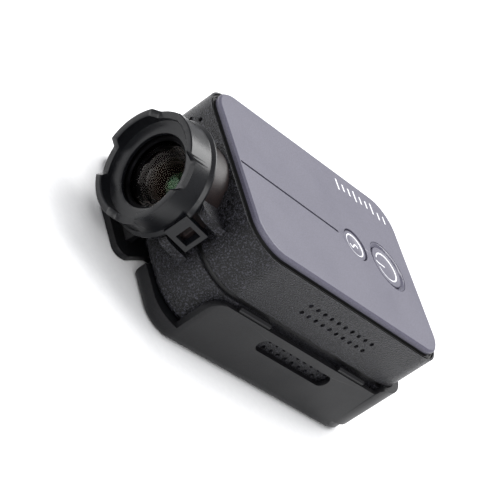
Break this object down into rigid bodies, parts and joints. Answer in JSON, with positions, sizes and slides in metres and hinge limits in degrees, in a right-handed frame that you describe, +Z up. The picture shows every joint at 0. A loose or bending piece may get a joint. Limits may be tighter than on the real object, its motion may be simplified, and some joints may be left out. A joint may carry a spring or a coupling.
{
  "type": "dash camera",
  "caption": "Pocket wide-angle camera with a crenellated push-on lens hood, seated in a clip-on cradle with a tripod thread.",
  "frame": {"origin": "mouth of the tripod thread, in the middle of the cradle's flat base", "axes": "+Z up through the button face, lens looks along -Y, sound holes on +X"},
  "size_m": [0.0404, 0.0693, 0.0243],
  "materials": {
    "textured_shell": "coarse spark-eroded texture",
    "top_plate": "fine satin texture",
    "cradle_plastic": "fine satin texture",
    "hood_plastic": "satin",
    "housing_plastic": "fine texture",
    "inner_plastic": "matte",
    "cap_plastic": "satin",
    "key_plastic": "satin",
    "bezel_plastic": "gloss",
    "seal_rubber": "matte",
    "lens_metal": "black anodised",
    "lens_glass": "coated, polished",
    "filter_glass": "coated, polished",
    "light_guide": "smoked, matte",
    "light_chip": "gloss",
    "insert_brass": "turned",
    "screw_steel": "zinc plated",
    "socket_steel": "tinned",
    "switch_steel": "tinned",
    "circuit_board": "solder mask",
    "ribbon": "polyimide",
    "chip": "moulded",
    "sensor_chip": "glossy",
    "spreader": "plain",
    "antenna_board": "solder mask",
    "speaker_body": "matte",
    "microphone_can": "plain",
    "memory_card": "satin",
    "battery_wrap": "foil pouch"
  },
  "bodies": {
    "cradle": {"cradle": "cradle_plastic", "tripod_insert": "insert_brass"},
    "release_tab": {"release_tab": "cradle_plastic"},
    "hood": {"lens_hood": "hood_plastic"},
    "lens": {"lens_barrel": "lens_metal", "front_glass": "lens_glass", "second_glass": "lens_glass", "lens_stop": "lens_metal", "rear_glass": "lens_glass", "lens_retainer": "lens_metal"},
    "power_key": {"power_button": "key_plastic"},
    "mode_key": {"mode_button": "key_plastic"},
    "card": {"memory_card": "memory_card"},
    "battery": {"battery_cell": "battery_wrap", "battery_cap": "cap_plastic"},
    "camera": {"upper_shell": "textured_shell", "lower_shell": "textured_shell", "top_plate": "top_plate", "lens_housing": "housing_plastic", "seam_chassis": "inner_plastic", "lens_holder": "inner_plastic", "battery_contacts": "inner_plastic", "power_bezel": "bezel_plastic", "top_seal": "seal_rubber", "infrared_filter": "filter_glass", "light_bar": "light_guide", "status_light": "light_chip", "case_screws": "screw_steel", "usb_port": "socket_steel", "card_socket": "socket_steel", "power_switch": "switch_steel", "mode_switch": "switch_steel", "main_board": "circuit_board", "sensor_board": "circuit_board", "key_board": "circuit_board", "sensor_ribbon": "ribbon", "processor": "chip", "memory_chip": "chip", "image_sensor": "sensor_chip", "heat_spreader": "spreader", "antenna": "antenna_board", "speaker": "speaker_body", "microphones": "microphone_can"}
  },
  "joints": [
    {"name": "camera_lift", "type": "slide", "parent": "cradle", "child": "camera", "axis": [0, 0, 1], "range_m": [0, 0.03]},
    {"name": "tab_flex", "type": "hinge", "parent": "cradle", "child": "release_tab", "pos_m": [0, -0.0234, 0.0007], "axis": [1, 0, 0], "range_deg": [0, 4], "stiffness_Nm_per_rad": 0.2},
    {"name": "hood_pull", "type": "slide", "parent": "camera", "child": "hood", "axis": [0, -1, 0], "range_m": [0, 0.014]},
    {"name": "lens_focus", "type": "hinge", "parent": "camera", "child": "lens", "pos_m": [0, -0.0286, 0.0138], "axis": [0, -1, 0], "range_deg": [-30, 30]},
    {"name": "power_press", "type": "slide", "parent": "camera", "child": "power_key", "axis": [0, 0, -1], "range_m": [0, 0.0004], "stiffness_N_per_m": 1500},
    {"name": "mode_press", "type": "slide", "parent": "camera", "child": "mode_key", "axis": [0, 0, -1], "range_m": [0, 0.0004], "stiffness_N_per_m": 1500},
    {"name": "card_pull", "type": "slide", "parent": "camera", "child": "card", "axis": [0, 1, 0], "range_m": [0, 0.016]},
    {"name": "battery_pull", "type": "slide", "parent": "camera", "child": "battery", "axis": [0, 1, 0], "range_m": [0, 0.045]}
  ]
}
